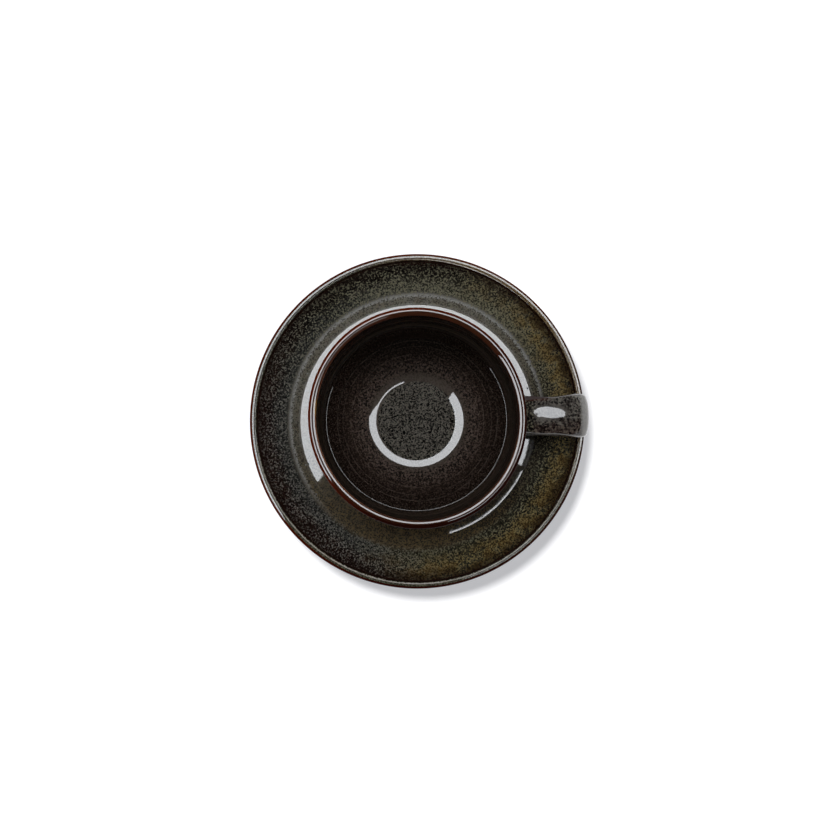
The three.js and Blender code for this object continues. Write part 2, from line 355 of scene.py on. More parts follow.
def cup_outside():
    """Corners of the outside, from the axis under the base to the outer edge of the rim."""
    flare = on_dish(BASE_FLARE, BASE_THICKNESS)
    haunch = on_dish(HAUNCH, HAUNCH_THICKNESS)
    rim = Vector((RIM_RADIUS, CUP_RIM))
    upright = math.pi / 2 - OUTER_DRAFT
    foot_inner = CUP_FOOT_RADIUS - CUP_FOOT_WIDTH

    def under(r):
        return flare.y + (r - flare.x) * math.tan(BASE_FLARE)

    return [
        (0, CUP_BASE),
        (*meet((0, CUP_BASE), 0, flare, BASE_FLARE), SOFT_ROUNDING / 4),
        (foot_inner, under(foot_inner), FOOT_ROUNDING / 2),
        (foot_inner, CUP_FOOT, FOOT_ROUNDING),
        (CUP_FOOT_RADIUS, CUP_FOOT, FOOT_ROUNDING),
        (CUP_FOOT_RADIUS, under(CUP_FOOT_RADIUS), FOOT_ROUNDING),
        (*meet(flare, BASE_FLARE, haunch, HAUNCH), BASE_FLARE_RADIUS),
        (*meet(haunch, HAUNCH, rim, upright), OUTER_HAUNCH_RADIUS),
    ]


CUP_WALL = rounded(cup_outside() + [(RIM_RADIUS, CUP_RIM)])
UPPER_WALL = [p for p in CUP_WALL if p.x > CUP_FOOT_RADIUS + 0.1]


def wall_radius(z):
    """The radius of the cup's outside at a height."""
    return np.interp(z, [p.y for p in UPPER_WALL], [p.x for p in UPPER_WALL])


# Ledges that the throwing left on the inner wall: height above the table and tread
LEDGES = [(26.3, 0.13)]
LEDGE_FALL = 0.1
LEDGE_BLEND = 4
LEDGE_STEPS = (0, 0.2, 0.5, 0.8, 1)
# Throwing rings in the bowl: radius, relief and half width
THROWING_RINGS = [
    (24.6, 0.012, 0.3),
    (28.2, 0.012, 0.35),
    (30.8, 0.015, 0.35),
    (35.7, 0.015, 0.4),
]
THROWING_TOP = CUP_RIM - 10
FLOOR_FACING = 0.2


def with_ledges(points):
    """Steps the inside of the profile, which runs from the rim down to the floor, at each ledge."""
    for height, tread in LEDGES:
        k = next(
            i for i in range(len(points) - 1)
            if i > len(points) / 3 and points[i].y >= height > points[i + 1].y
        )
        share = (points[k].y - height) / (points[k].y - points[k + 1].y)
        edge = points[k].lerp(points[k + 1], share)
        steps = [edge + Vector((-tread * t, -tread * t * LEDGE_FALL)) for t in LEDGE_STEPS]

        def stepped(p):
            if p.x <= BOWL_FLOOR_RADIUS:
                return p
            return p - Vector((tread * (1 - smooth(height - p.y, 0, LEDGE_BLEND)), 0))

        points = points[:k + 1] + steps + [stepped(p) for p in points[k + 1:]]
    return points


def make_cup():
    upright = math.pi / 2 - INNER_DRAFT
    lip = crowned_lip(RIM_RADIUS, CUP_RIM, CUP_LIP, CUP_LIP_CREST, CUP_LIP_CROWN)
    haunch = Vector((
        BOWL_FLOOR_RADIUS + BOWL_RADIUS * math.sin(BOWL_SLOPE),
        DISH_FLOOR + BOWL_RADIUS * (1 - math.cos(BOWL_SLOPE)),
    ))
    profile = rounded(cup_outside() + lip + [
        (*meet(haunch, BOWL_SLOPE, lip[-1][:2], upright), INNER_HAUNCH_RADIUS),
        (*meet((0, DISH_FLOOR), 0, haunch, BOWL_SLOPE), BOWL_RADIUS),
        (0, DISH_FLOOR),
    ])
    cup = turned("cup_bowl", with_ledges(divided(profile)))

    def throwing(spots, normals):
        r = np.hypot(spots[:, 0], spots[:, 1])
        inside = (normals[:, 2] > FLOOR_FACING) & (spots[:, 2] < THROWING_TOP)
        rings = [h * np.exp(-((r - ring) / w) ** 2 / 2) for ring, h, w in THROWING_RINGS]
        relief = inside * sum(rings)
        return normals * relief[:, None]

    def off_centre(spots, normals):
        inwards = np.sum(spots[:, :2] * normals[:, :2], axis=1) < 0
        inside = (inwards | (normals[:, 2] > 0)) & (spots[:, 2] > DISH_FLOOR - 1)
        low = np.clip((SET_OFF_TOP - spots[:, 2]) / SET_OFF_RUN, 0, 1)
        return np.outer(inside * low * low * (3 - 2 * low), (BOWL_SET_OFF, 0, 0))

    def drawn_oval(spots, normals):
        rise = np.clip((spots[:, 2] - OVAL_START) / OVAL_RUN, 0, 1)
        return (spots @ OVAL + RIM_LEAN) * rise[:, None]

    move_skin(cup, throwing)
    move_skin(cup, off_centre)
    move_skin(cup, drawn_oval)
    return cup


# Handle
def strap_stations():
    """Places along the strap's centre line with their headings, from inside the wall and back into it.

    Also gives the numbers of the last place on the arm and of the one in the middle of the bend.
    """
    start = Vector((wall_radius(UPPER_ROOT) - STRAP_THICKNESS, UPPER_ROOT))
    end = Vector((wall_radius(LOWER_ROOT) - STRAP_THICKNESS, LOWER_ROOT))
    bend = Vector((
        HANDLE_REACH - STRAP_THICKNESS / 2 - BEND_RADIUS,
        UPPER_ROOT + UPPER_RISE - BEND_RADIUS,
    ))

    def towards(angle):
        return Vector((math.cos(angle), math.sin(angle)))

    bend_start = bend + towards(BEND_START) * BEND_RADIUS
    bend_end = bend + towards(BEND_END) * BEND_RADIUS
    upper_pull = UPPER_FULLNESS * (bend_start - start).length
    lower_pull = LOWER_FULLNESS * (bend_end - end).length

    def arm(a, pull_a, pull_b, b):
        count = 2 + math.ceil((b - a).length * 1.1 / STRAP_STEP)
        knots = [p.to_3d() for p in (a, pull_a, pull_b, b)]
        return [p.to_2d() for p in interpolate_bezier(*knots, count)]

    turn_steps = math.ceil((BEND_START - BEND_END) * BEND_RADIUS / STRAP_STEP)
    turn = [
        bend + towards(BEND_START + (BEND_END - BEND_START) * k / turn_steps) * BEND_RADIUS
        for k in range(1, turn_steps)
    ]
    upper = arm(
        start,
        start + Vector((upper_pull, UPPER_LEVEL)),
        bend_start + towards(BEND_START + math.pi / 2) * upper_pull,
        bend_start,
    )
    lower = arm(
        bend_end,
        bend_end + towards(BEND_END - math.pi / 2) * lower_pull,
        end + Vector((lower_pull, 0)),
        end,
    )
    line = upper + turn + lower
    before = [line[0] * 2 - line[1]] + line[:-1]
    after = line[1:] + [line[-1] * 2 - line[-2]]
    headings = [math.atan2(b.y - a.y, b.x - a.x) for a, b in zip(before, after)]
    return list(zip(line, headings)), len(upper) - 1, len(upper) + turn_steps // 2


def strap_section(width):
    """Outline of the strap as (across, out): a crowned outer face and a flatter inner one."""
    half = width / 2
    flat = half - STRAP_EDGE
    outer = STRAP_THICKNESS / 2 - STRAP_CROWN
    inner = STRAP_INNER_CROWN - STRAP_THICKNESS / 2
    faces = [
        ((half, 0), (half, outer), (flat, outer), SECTION_RUNS // 2),
        ((flat, outer), (0, outer + 2 * STRAP_CROWN), (-flat, outer), 2 * SECTION_RUNS),
        ((-flat, outer), (-half, outer), (-half, 0), SECTION_RUNS // 2),
        ((-half, 0), (-half, inner), (-flat, inner), SECTION_RUNS // 2),
        ((-flat, inner), (0, inner - 2 * STRAP_INNER_CROWN), (flat, inner), 2 * SECTION_RUNS),
        ((flat, inner), (half, inner), (half, 0), SECTION_RUNS // 2),
    ]
    outline = []
    for a, pull, b, runs in faces:
        for k in range(runs):
            t = k / runs
            spot = Vector(a) * (1 - t) ** 2 + Vector(pull) * 2 * t * (1 - t) + Vector(b) * t * t
            outline.append(spot)
    return outline


def strap_width(step, arm_end, bend_middle, last):
    """The strap's width at a station: it widens along the arm, again to the bend, then narrows."""
    arm_stop = ARM_SHARE * arm_end
    if step < arm_stop:
        return UPPER_ROOT_WIDTH + (ARM_WIDTH - UPPER_ROOT_WIDTH) * smooth(step, 0, arm_stop)
    if step < bend_middle:
        return ARM_WIDTH + (BEND_WIDTH - ARM_WIDTH) * smooth(step, arm_stop, bend_middle)
    return BEND_WIDTH + (LOWER_ROOT_WIDTH - BEND_WIDTH) * smooth(step, bend_middle, last)


def lofted_strap():
    """The strap, extruded from its first section through all stations."""
    stations, arm_end, bend_middle = strap_stations()
    last = len(stations) - 1
    widths = [strap_width(k, arm_end, bend_middle, last) for k in range(len(stations))]
    section = strap_section(UPPER_ROOT_WIDTH)
    place = stations[0][0]
    select_none()
    bpy.ops.mesh.primitive_circle_add(vertices=len(section), radius=MM, fill_type="NGON")
    handle = bpy.context.object
    handle.name = handle.data.name = "cup_strap"
    for vertex, spot in zip(handle.data.vertices, section):
        vertex.co = Vector((place.x, spot.x, place.y + spot.y)) * MM
    bpy.ops.object.mode_set(mode="EDIT")
    bpy.ops.mesh.select_mode(type="VERT")
    bpy.ops.mesh.select_all(action="SELECT")
    for k in range(1, len(stations)):
        here, turned_to = stations[k]
        step = (here - stations[k - 1][0]) * MM
        pivot = (here.x * MM, 0, here.y * MM)
        turn = (turned_to - stations[k - 1][1] + math.pi) % (2 * math.pi) - math.pi
        bpy.ops.mesh.extrude_region_move(TRANSFORM_OT_translate={"value": (step.x, 0, step.y)})
        bpy.ops.transform.rotate(value=turn, orient_axis="Y", center_override=pivot)
        bpy.ops.transform.resize(value=(1, widths[k] / widths[k - 1], 1), center_override=pivot)
    bpy.ops.mesh.select_all(action="SELECT")
    bpy.ops.mesh.normals_make_consistent(inside=False)
    bpy.ops.object.mode_set(mode="OBJECT")
    return handle


def make_handle():
    handle = lofted_strap()
    flare_roots(handle)
    dome_ends(handle)
    trim_to_wall(handle)
    fillet_roots(handle)
    select_only(handle)
    bpy.ops.object.shade_smooth_by_angle(angle=SHARP_ANGLE)
    return handle


def flare_roots(handle):
    """Spreads the strap's inner face where it nears the wall."""
    for vertex in handle.data.vertices:
        x, y, z = vertex.co / MM
        near = 1 - smooth(math.hypot(x, y) - wall_radius(z), 0, ROOT_FLARE_LENGTH)
        middle = UPPER_ROOT if z > (UPPER_ROOT + LOWER_ROOT) / 2 else LOWER_ROOT
        inwards = middle - z if middle == UPPER_ROOT else z - middle
        share = smooth(inwards, -STRAP_THICKNESS / 3, STRAP_THICKNESS / 2)
        flare = ROOT_FLARE if y > 0 else -LOW_SIDE_FLARE
        vertex.co.y += flare * near * share * min(1, abs(y) / ROOT_FLARE_EASE) * MM


def dome_ends(handle):
    """Rounds the top of the arm more towards the root and the bend than in its middle."""
    for vertex in handle.data.vertices:
        x, y, z = vertex.co / MM
        flat = math.sqrt(1 - min(DOME_LIMIT, abs(x - ARM_MIDDLE) / ARM_FLAT) ** 2)
        width = max(1, DOME_WIDTH * flat)
        on_top = smooth(z, UPPER_ROOT - DOME_FOOT, UPPER_ROOT - 1)
        crown = CROWN_CURVE * (1 / flat - 1) * width ** 2 * on_top
        vertex.co.z -= crown * (math.hypot(1, (y - DOME_LINE) / width) - 1) * MM
        at_bend = smooth(x, BEND_DOME_START, BEND_DOME_END)
        vertex.co.x -= BEND_DOME * at_bend * abs(2 * y / BEND_WIDTH) ** 3 * MM


def trim_to_wall(handle):
    """Cuts both ends of the strap along the wall, a little inside it."""
    inside = [Vector((p.x - ROOT_SINK, p.y)) for p in UPPER_WALL]
    ends = [Vector((0, inside[0].y)), Vector((0, CUP_RIM))]
    cutter = turned("wall_cutter", ends[:1] + inside + ends[1:])
    trim = handle.modifiers.new("trim", "BOOLEAN")
    trim.object = cutter
    trim.operation = "DIFFERENCE"
    trim.solver = "EXACT"
    select_only(handle)
    bpy.ops.object.modifier_apply(modifier="trim")
    select_only(cutter)
    bpy.ops.object.delete()


def fillet_roots(handle):
    """Rounds the corner between strap and wall, where slip and glaze gather."""
    def gathered(spots, normals):
        off = np.hypot(spots[:, 0], spots[:, 1]) - wall_radius(spots[:, 2])
        gap = np.clip(1 - off / LUTE_FILLET, 0, 1)
        thickness = LUTE_RISE * LUTE_FILLET * gap ** 2 * normals[:, 2] ** 2
        return normals * thickness[:, None]

    move_skin(handle, gathered)


# Glazes
GLAZE_IOR = 1.55
STRAP_IOR = 1.5
# Tones of the speckle: the reach of its grain, and the edge, core and strength of its dots
GRAIN_REACH = 0.8
DOT_EDGE = 0.58
DOT_CORE = 0.28
DOT_TONE = 0.32
PIT_SPACING = 5.0
# Pigment rings in the bowl: radius and half width
BOWL_RINGS = [(25.2, 0.2), (27.6, 0.18), (29.7, 0.22), (33.2, 0.14), (35.7, 0.2)]
# Where the highlight falls on the handle's arm, the speckle is thinned so that the highlight reads
# smooth: its middle, half length and half width
HIGHLIGHT_PATCH_X = 57
HIGHLIGHT_PATCH_Y = 1.4
HIGHLIGHT_PATCH_LENGTH = 8.5
HIGHLIGHT_PATCH_WIDTH = 3.6


def colour(red, green, blue):
    """A colour given as it looks on a screen, 0 to 255."""
    def linear(c):
        c = c / 255
        return c / 12.92 if c <= 0.04045 else ((c + 0.055) / 1.055) ** 2.4

    return (linear(red), linear(green), linear(blue), 1)


# Colours of both pieces
BARE_CLAY = colour(122, 98, 78)
RED_EDGE = colour(118, 42, 15)
BLACK_SPOT = colour(8, 7, 7)
PALE_FLECK = colour(168, 163, 136)

# Colours of the saucer
ASH = colour(88, 89, 85)
OLIVE = colour(104, 98, 74)
SLOPE_PAINTED_LIGHT = colour(152, 145, 120)
OCHRE = colour(150, 118, 62)
LEFT_DARK = colour(46, 44, 41)
DUSK = colour(32, 25, 23)
PLUM = colour(54, 26, 22)
CUP_SHADE = colour(36, 34, 28)
WARM_FLECK = colour(174, 150, 92)
GREY_FLECK = colour(152, 147, 138)
VEIL_FRONT = colour(128, 114, 90)
VEIL_LIT_BACK = colour(164, 158, 146)
VEIL_BLOTCH = colour(118, 99, 78)
VEIL_SHADE = colour(52, 49, 43)
VEIL_FLECK = colour(170, 143, 98)
VERGE_PALE_AND_SHEEN = colour(216, 214, 209)
DARK_PIT = colour(10, 9, 9)
# A painted glint for the pits outside the well's bright strip.
PIT_GLINT = colour(205, 204, 200)
# Painted shade at the foot of the saucer's lip.
LIP_FOOT_SHADE = colour(30, 17, 14)
LIP_GREY = colour(92, 86, 70)
LIP_TAN = colour(158, 126, 86)
RED_LINE = colour(40, 17, 11)
# A painted highlight on the saucer lip's crown.
LIP_HIGHLIGHT = colour(235, 228, 208)
DARK_EDGE = colour(64, 17, 7)

# Colours of the cup
BOWL_CORE = colour(110, 100, 90)
BOWL_LOW = colour(86, 74, 66)
BOWL_MIDDLE = colour(58, 46, 39)
BOWL_HIGH = colour(44, 34, 28)
BOWL_BACK_SHADE = colour(16, 15, 13)
BOWL_FLECK = colour(122, 106, 96)
RING_PIGMENT = colour(116, 102, 92)
WALL_DARK = colour(50, 42, 35)
WALL_PALE = colour(88, 73, 60)
WALL_HIGHLIGHT_LINE = colour(150, 141, 134)
WALL_BROWN = colour(138, 68, 43)
BROWN_FLECK = colour(150, 88, 60)
COAT_GREY = colour(76, 73, 66)
COAT_OLIVE = colour(100, 90, 62)
CROWN_BROWN = colour(84, 46, 30)
BRIM_PALE = colour(160, 108, 82)
CUP_DARK_EDGE = colour(52, 19, 11)
OCHRE_SPOT = colour(168, 122, 58)
GRIT_DARK = colour(7, 7, 6)
GRIT_PALE = colour(140, 134, 123)

# Colours of the handle
STRAP_GREY = colour(98, 91, 85)
STRAP_PALE = colour(134, 127, 119)
STRAP_FLECK = colour(150, 144, 133)
STRAP_PLUM = colour(58, 30, 26)
PLUM_FLECK = colour(124, 108, 92)
STRAP_BLOTCH = colour(30, 19, 16)
ROOT_SHADE = colour(40, 36, 30)
RUST = colour(104, 52, 36)
STRAP_SIDE = colour(82, 76, 72)
BEND_REFLECTION = colour(178, 175, 169)
ROOT_RED = colour(50, 17, 10)


class Glaze:
    """The nodes of one glaze, with short words for what it is mixed from. Lengths are millimetres."""

    def __init__(self, name):
        self.material = bpy.data.materials.new(name)
        self.material.use_nodes = True
        self.tree = self.material.node_tree
        self.tree.nodes.clear()
        place = self.tree.nodes.new("ShaderNodeTexCoord")
        self.normal = place.outputs["Normal"]
        metres = place.outputs["Object"]
        self.spot = self.node("VectorMath", [metres, None, None, 1 / MM], operation="SCALE")
        self.x, self.y, self.z = self.split(self.spot)
        flat = self.node("VectorMath", [self.spot, (1, 1, 0)], operation="MULTIPLY")
        self.radius = self.length(flat)
        self.across = self.node("VectorMath", [flat], operation="NORMALIZE")

    def feed(self, socket, value):
        """Links an input to another node's output, or sets its own value."""
        if isinstance(value, bpy.types.NodeSocket):
            self.tree.links.new(value, socket)
        elif value is not None:
            socket.default_value = value

    def node(self, kind, inputs, out=0, **settings):
        """Adds a node, feeds its inputs in order and gives one output."""
        node = self.tree.nodes.new("ShaderNode" + kind)
        for key, value in settings.items():
            setattr(node, key, value)
        for socket, value in zip(node.inputs, inputs):
            self.feed(socket, value)
        return node.outputs[out]

    def split(self, vector):
        parts = self.tree.nodes.new("ShaderNodeSeparateXYZ")
        self.feed(parts.inputs[0], vector)
        return parts.outputs

    def length(self, vector):
        return self.node("VectorMath", [vector], operation="LENGTH", out="Value")

    def dot(self, a, b):
        return self.node("VectorMath", [a, b], operation="DOT_PRODUCT", out="Value")

    def math(self, operation, a, b=0.0):
        return self.node("Math", [a, b], operation=operation)

    def times(self, *factors):
        product = factors[0]
        for factor in factors[1:]:
            product = self.math("MULTIPLY", product, factor)
        return product

    def wobble(self, value, pattern, reach):
        """A value moved to and fro by a pattern."""
        return self.math("ADD", value, self.times(self.math("SUBTRACT", pattern, 0.5), reach))

    def fade(self, value, low, high):
        """0 at low, 1 at high and beyond. A low above the high fades the other way."""
        return self.node("MapRange", [value, low, high, 0.0, 1.0], interpolation_type="SMOOTHSTEP")

    def band(self, value, low, high, soft):
        """1 between low and high, fading out over a soft edge on both sides."""
        rise = self.fade(value, low - soft, low + soft)
        fall = self.fade(value, high + soft, high - soft)
        return self.times(rise, fall)

    def between(self, factor, low, high):
        """A number that goes from low to high with a factor."""
        return self.node("MapRange", [factor, 0.0, 1.0, low, high])

    def towards(self, angle):
        """How far a place lies towards a compass angle in degrees, 0 being the handle's side."""
        turn = math.radians(angle)
        return self.dot(self.spot, (math.cos(turn), math.sin(turn), 0))

    def noise(self, size, detail=2.0, roughness=0.5, shift=0.0, stretch=(1, 1, 1)):
        """A cloudy pattern from 0 to 1 with features of about a size."""
        place = self.node("Mapping", [self.spot, (shift, shift, shift), None, stretch])
        return self.node("TexNoise", [place, None, 1 / size, detail, roughness])

    def dots(self, place, size):
        """Soft dots, one to a cell of about a size."""
        off_centre = self.node("TexVoronoi", [place, None, 1 / size])
        return self.times(self.fade(off_centre, DOT_EDGE, DOT_CORE), DOT_TONE)

    def specks(self, size, shift):
        """Dark and pale dots in a fine grain, from 0 for the darkest to 1 for the palest."""
        place = self.node("Mapping", [self.spot, (shift, shift, shift)])
        aside = self.node("Mapping", [place, (9, 4, 2)])
        tone = self.wobble(0.5, self.noise(size / 2, 1, 0.5, shift), GRAIN_REACH)
        tone = self.math("ADD", tone, self.dots(aside, size))
        return self.math("SUBTRACT", tone, self.dots(place, size))

    def over(self, factor, under, top):
        """One colour over another. A mix node's colours come after its numbers and vectors."""
        mix = self.tree.nodes.new("ShaderNodeMix")
        mix.data_type = "RGBA"
        self.feed(mix.inputs[0], factor)
        self.feed(mix.inputs[6], under)
        self.feed(mix.inputs[7], top)
        return mix.outputs[2]

    def bump(self, height, depth):
        """A fine relief with a depth in millimetres."""
        node = self.tree.nodes.new("ShaderNodeBump")
        self.feed(node.inputs["Strength"], 1.0)
        self.feed(node.inputs["Distance"], depth * MM)
        self.feed(node.inputs["Height"], height)
        return node.outputs[0]

    def finish(self, base, roughness, normal, ior=GLAZE_IOR):
        shader = self.tree.nodes.new("ShaderNodeBsdfPrincipled")
        self.feed(shader.inputs["IOR"], ior)
        self.feed(shader.inputs["Base Color"], base)
        self.feed(shader.inputs["Roughness"], roughness)
        self.feed(shader.inputs["Normal"], normal)
        out = self.tree.nodes.new("ShaderNodeOutputMaterial")
        self.feed(out.inputs[0], shader.outputs[0])
        return self.material


def speckled(g, ground, speck, amount, pale=PALE_FLECK):
    """Black spots and pale flecks in a ground."""
    spots = g.times(g.fade(speck, 0.5, 0.34), amount, 0.9)
    flecks = g.times(g.fade(speck, 0.53, 0.68), amount, 0.85)
    return g.over(flecks, g.over(spots, ground, BLACK_SPOT), pale)


def saucer_slope(g, speck, blotch, warm, outer, shade):
    """The slope of the rim: olive and ochre towards the handle, darker and plum away from it, paler at
    the back right with painted light, and the cup's painted shadow on the right towards the front.
    """
    ground = g.over(warm, ASH, OLIVE)
    # Painted light: the back right of the slope is made paler, where the light falls on it.
    ground = g.over(g.times(g.fade(g.towards(52), 5, 66), 0.65), ground, SLOPE_PAINTED_LIGHT)
    patches = g.times(warm, g.fade(outer, 60, 68), g.fade(blotch, 0.42, 0.56))
    ground = g.over(g.times(patches, 0.8), ground, OCHRE)
    # The left of the slope is made darker.
    ground = g.over(g.times(g.fade(g.towards(190), 5, 70), 0.4), ground, LEFT_DARK)
    dusk = g.times(g.fade(g.towards(125), 10, 60), 0.35)
    dusk = g.math("ADD", g.between(warm, 0.8, 0.25), dusk)
    ground = g.over(g.times(g.fade(outer, 59, 69), dusk), ground, DUSK)
    plum = g.times(g.fade(g.towards(205), 20, 62), g.fade(outer, 61, 69))
    ground = g.over(g.times(plum, 0.85), ground, PLUM)
    ground = g.over(g.times(shade, 0.85), ground, CUP_SHADE)
    flecks = g.over(g.times(warm, g.fade(outer, 58, 64), 0.8), PALE_FLECK, WARM_FLECK)
    flecks = g.over(g.fade(g.towards(205), 5, 60), flecks, GREY_FLECK)
    amount = g.between(g.fade(blotch, 0.35, 0.65), 1.0, 0.8)
    return speckled(g, ground, speck, amount, flecks)


def saucer_veil(g, speck, blotch, shade):
    """The milky glaze in the well, browner and more speckled in front; paler at the back, partly its
    own colour and partly painted light, with the cup's painted shadow on the right towards the front.
    """
    # Paler towards the back: partly the glaze, partly painted light.
    veil = g.over(g.fade(g.towards(110), -57, 50), VEIL_FRONT, VEIL_LIT_BACK)
    veil = g.over(g.times(g.fade(blotch, 0.4, 0.65), 0.35), veil, VEIL_BLOTCH)
    veil = g.over(g.times(shade, 0.75), veil, VEIL_SHADE)
    near = g.fade(g.towards(262), 12, 45)
    amount = g.between(g.fade(g.radius, 52.8, 53.8), g.between(near, 0.16, 0.6), 0.65)
    return speckled(g, veil, speck, amount, g.over(near, PALE_FLECK, VEIL_FLECK))


def saucer_verge(g, base, speck):
    """A pale, broken crest on the verge of the well, everywhere but in front: partly the glaze's own
    paleness, partly a painted reflection of the overhead light.
    """
    ring = g.band(g.wobble(g.radius, speck, 1.6), 56.5, 57.5, 0.6)
    broken = g.between(g.fade(speck, 0.38, 0.62), 0.5, 1.0)
    crest = g.times(ring, g.fade(g.towards(110), -30, 5), broken)
    return g.over(crest, base, VERGE_PALE_AND_SHEEN)


def saucer_lip(g, base, speck):
    """The lip: a dark line along its foot, a painted highlight along the crown in front and a red
    edge.
    """
    set_off = g.times(g.towards(math.degrees(CREST_TURN)), CREST_SET_OFF / SAUCER_RADIUS)
    crown = g.math("SUBTRACT", g.math("SUBTRACT", g.radius, CREST_SET_OFF), set_off)
    lip = g.over(g.times(g.fade(g.towards(40), 10, 70), 0.8), LIP_GREY, LIP_TAN)
    lip = speckled(g, lip, speck, 0.5)
    base = g.over(g.fade(crown, 71.8, 72.1), base, lip)
    base = g.over(g.band(crown, 71.2, 71.9, 0.25), base, RED_LINE)
    front = g.fade(g.towards(265), -10, 55)
    # Painted highlight: a pale line along the crown in front.
    lip_highlight_band = g.times(g.band(g.wobble(crown, speck, 0.5), 72.35, 72.7, 0.2), front, 0.95)
    base = g.over(lip_highlight_band, base, LIP_HIGHLIGHT)
    edge = g.over(g.fade(g.towards(310), -30, 50), RED_EDGE, DARK_EDGE)
    return g.over(g.fade(g.math("ADD", crown, g.times(front, 0.3)), 74.0, 74.2), base, edge)


def saucer_glaze():
    g = Glaze("saucer_glaze")
    blotch = g.noise(6, 3, 0.55, shift=11)
    speck = g.specks(0.9, 23)
    warm = g.fade(g.wobble(g.towards(335), g.noise(22, 2), 60), -18, 38)
    outer = g.wobble(g.radius, blotch, 9)
    # Painted shade: the cup's shadow on the saucer, on the right towards the front, used on the slope
    # and in the well.
    shade = g.times(g.fade(g.towards(335), 25, 57), g.fade(g.radius, 68, 58))
    slope = saucer_slope(g, speck, blotch, warm, outer, shade)
    veil = saucer_veil(g, speck, blotch, shade)
    base = g.over(g.fade(g.wobble(g.radius, speck, 3), 58.8, 57.2), slope, veil)
    base = saucer_verge(g, base, speck)
    # Pits in the well: dark pinholes inside 53 mm, and outside it pale pits that are painted glints.
    pits = g.fade(g.node("TexVoronoi", [g.spot, None, 1 / PIT_SPACING]), 0.09, 0.06)
    pits = g.times(pits, g.band(g.radius, 49, 56, 0.5))
    base = g.over(pits, base, g.over(g.fade(g.radius, 53, 53.6), DARK_PIT, PIT_GLINT))
    # Painted shade: the slope darkens towards the foot of the lip.
    base = g.over(g.times(g.fade(outer, 66, 71.5), g.between(warm, 0.65, 0.8)), base, LIP_FOOT_SHADE)
    base = saucer_lip(g, base, speck)
    base = g.over(g.fade(g.z, 0.9, 0.5), base, BARE_CLAY)
    ragged = g.times(g.fade(g.towards(318), 30, 40), 0.05)
    ragged = g.math("MAXIMUM", g.fade(g.radius, 53.0, 53.8), ragged)
    relief = g.times(speck, ragged, g.fade(g.radius, 69.4, 68.6))
    return g.finish(base, g.between(pits, 0.012, 0.6), g.bump(relief, 0.002))


def bowl_glaze(g, speck, blotch):
    """The inside of the cup: ringed and speckled in the bowl, streaked on the wall."""
    bowl = g.over(g.fade(g.radius, 19, 24), BOWL_CORE, BOWL_LOW)
    bowl = g.over(g.fade(g.radius, 23, 30), bowl, BOWL_MIDDLE)
    bowl = g.over(g.fade(g.radius, 28, 35), bowl, BOWL_HIGH)
    for radius, width in BOWL_RINGS:
        ring = g.band(g.wobble(g.radius, blotch, 0.5), radius - width, radius + width, 0.15)
        bowl = g.over(g.times(ring, g.fade(blotch, 0.3, 0.6), 0.55), bowl, RING_PIGMENT)
    thinning = g.between(g.fade(g.radius, 24, 33), 1.0, 0.3)
    starting = g.between(g.fade(g.radius, 20.5, 23.5), 0.3, 1.0)
    bowl = speckled(g, bowl, speck, g.times(thinning, starting), BOWL_FLECK)
    # Painted shade: the back of the bowl is darkened.
    bowl = g.over(g.times(g.fade(g.y, 8, 38), 0.75), bowl, BOWL_BACK_SHADE)
    streaks = g.noise(0.5, 3, 0.6, shift=13, stretch=(0.004, 0.004, 1))
    wall = g.over(g.fade(streaks, 0.3, 0.7), WALL_DARK, WALL_PALE)
    return g.over(g.fade(g.z, 25, 30), bowl, wall)


def cup_lip(g, base, inside):
    """The lip: a brown crown, a pale inner brim in front and a red edge."""
    base = g.over(g.fade(g.z, 68.3, 69.0), base, CROWN_BROWN)
    brim = g.times(g.fade(g.z, 67.2, 68.4), g.fade(g.radius, 44.5, 44.0), inside)
    brim = g.times(brim, g.fade(g.towards(245), -25, 25))
    base = g.over(brim, base, BRIM_PALE)
    edge = g.over(g.fade(g.towards(305), -20, 30), RED_EDGE, CUP_DARK_EDGE)
    return g.over(g.times(g.fade(g.radius, 46.0, 46.3), g.fade(g.z, 66.5, 68.5)), base, edge)


def cup_glaze():
    g = Glaze("cup_glaze")
    blotch = g.noise(6, 3, 0.55, shift=17)
    speck = g.specks(0.9, 29)
    upwards = g.split(g.normal)[2]
    inside = g.fade(g.math("SUBTRACT", upwards, g.dot(g.normal, g.across)), -0.2, 0.4)
    coat = g.over(g.fade(g.noise(20, 2, shift=5), 0.35, 0.65), COAT_GREY, COAT_OLIVE)
    coat = speckled(g, coat, speck, 1.0)
    base = g.over(inside, coat, bowl_glaze(g, speck, blotch))
    # Painted highlight: a pale ring round the inner wall, where a throwing ridge would catch the
    # light.
    base = g.over(g.times(g.band(g.z, 31.3, 32.1, 0.4), inside, 0.8), base, WALL_HIGHLIGHT_LINE)
    brown = speckled(g, WALL_BROWN, speck, 0.7, BROWN_FLECK)
    # The brown near the rim is the glaze breaking; its fading towards the back is painted shade.
    brown_fading_into_back_shade = g.between(g.fade(g.y, -10, 30), 0.85, 0.25)
    patchy = g.between(g.fade(blotch, 0.36, 0.6), brown_fading_into_back_shade, 0.85)
    height = g.wobble(g.z, blotch, 6)
    base = g.over(g.times(g.fade(height, 31, 38), inside, patchy), base, brown)
    base = cup_lip(g, base, inside)
    ochre_spot = g.times(g.band(g.y, 2, 8, 2.0), g.band(g.x, -44.6, -42, 0.4), g.fade(g.z, 52, 60))
    base = g.over(g.times(ochre_spot, 0.9), base, OCHRE_SPOT)
    floor = g.times(g.fade(g.wobble(g.radius, blotch, 1.6), 17.9, 17.3), inside)
    base = g.over(floor, base, g.over(g.fade(g.specks(0.8, 41), 0.38, 0.62), GRIT_DARK, GRIT_PALE))
    base = g.over(g.fade(g.z, CUP_FOOT + 0.9, CUP_FOOT + 0.5), base, BARE_CLAY)
    return g.finish(base, 0.015, g.bump(speck, 0.00015))


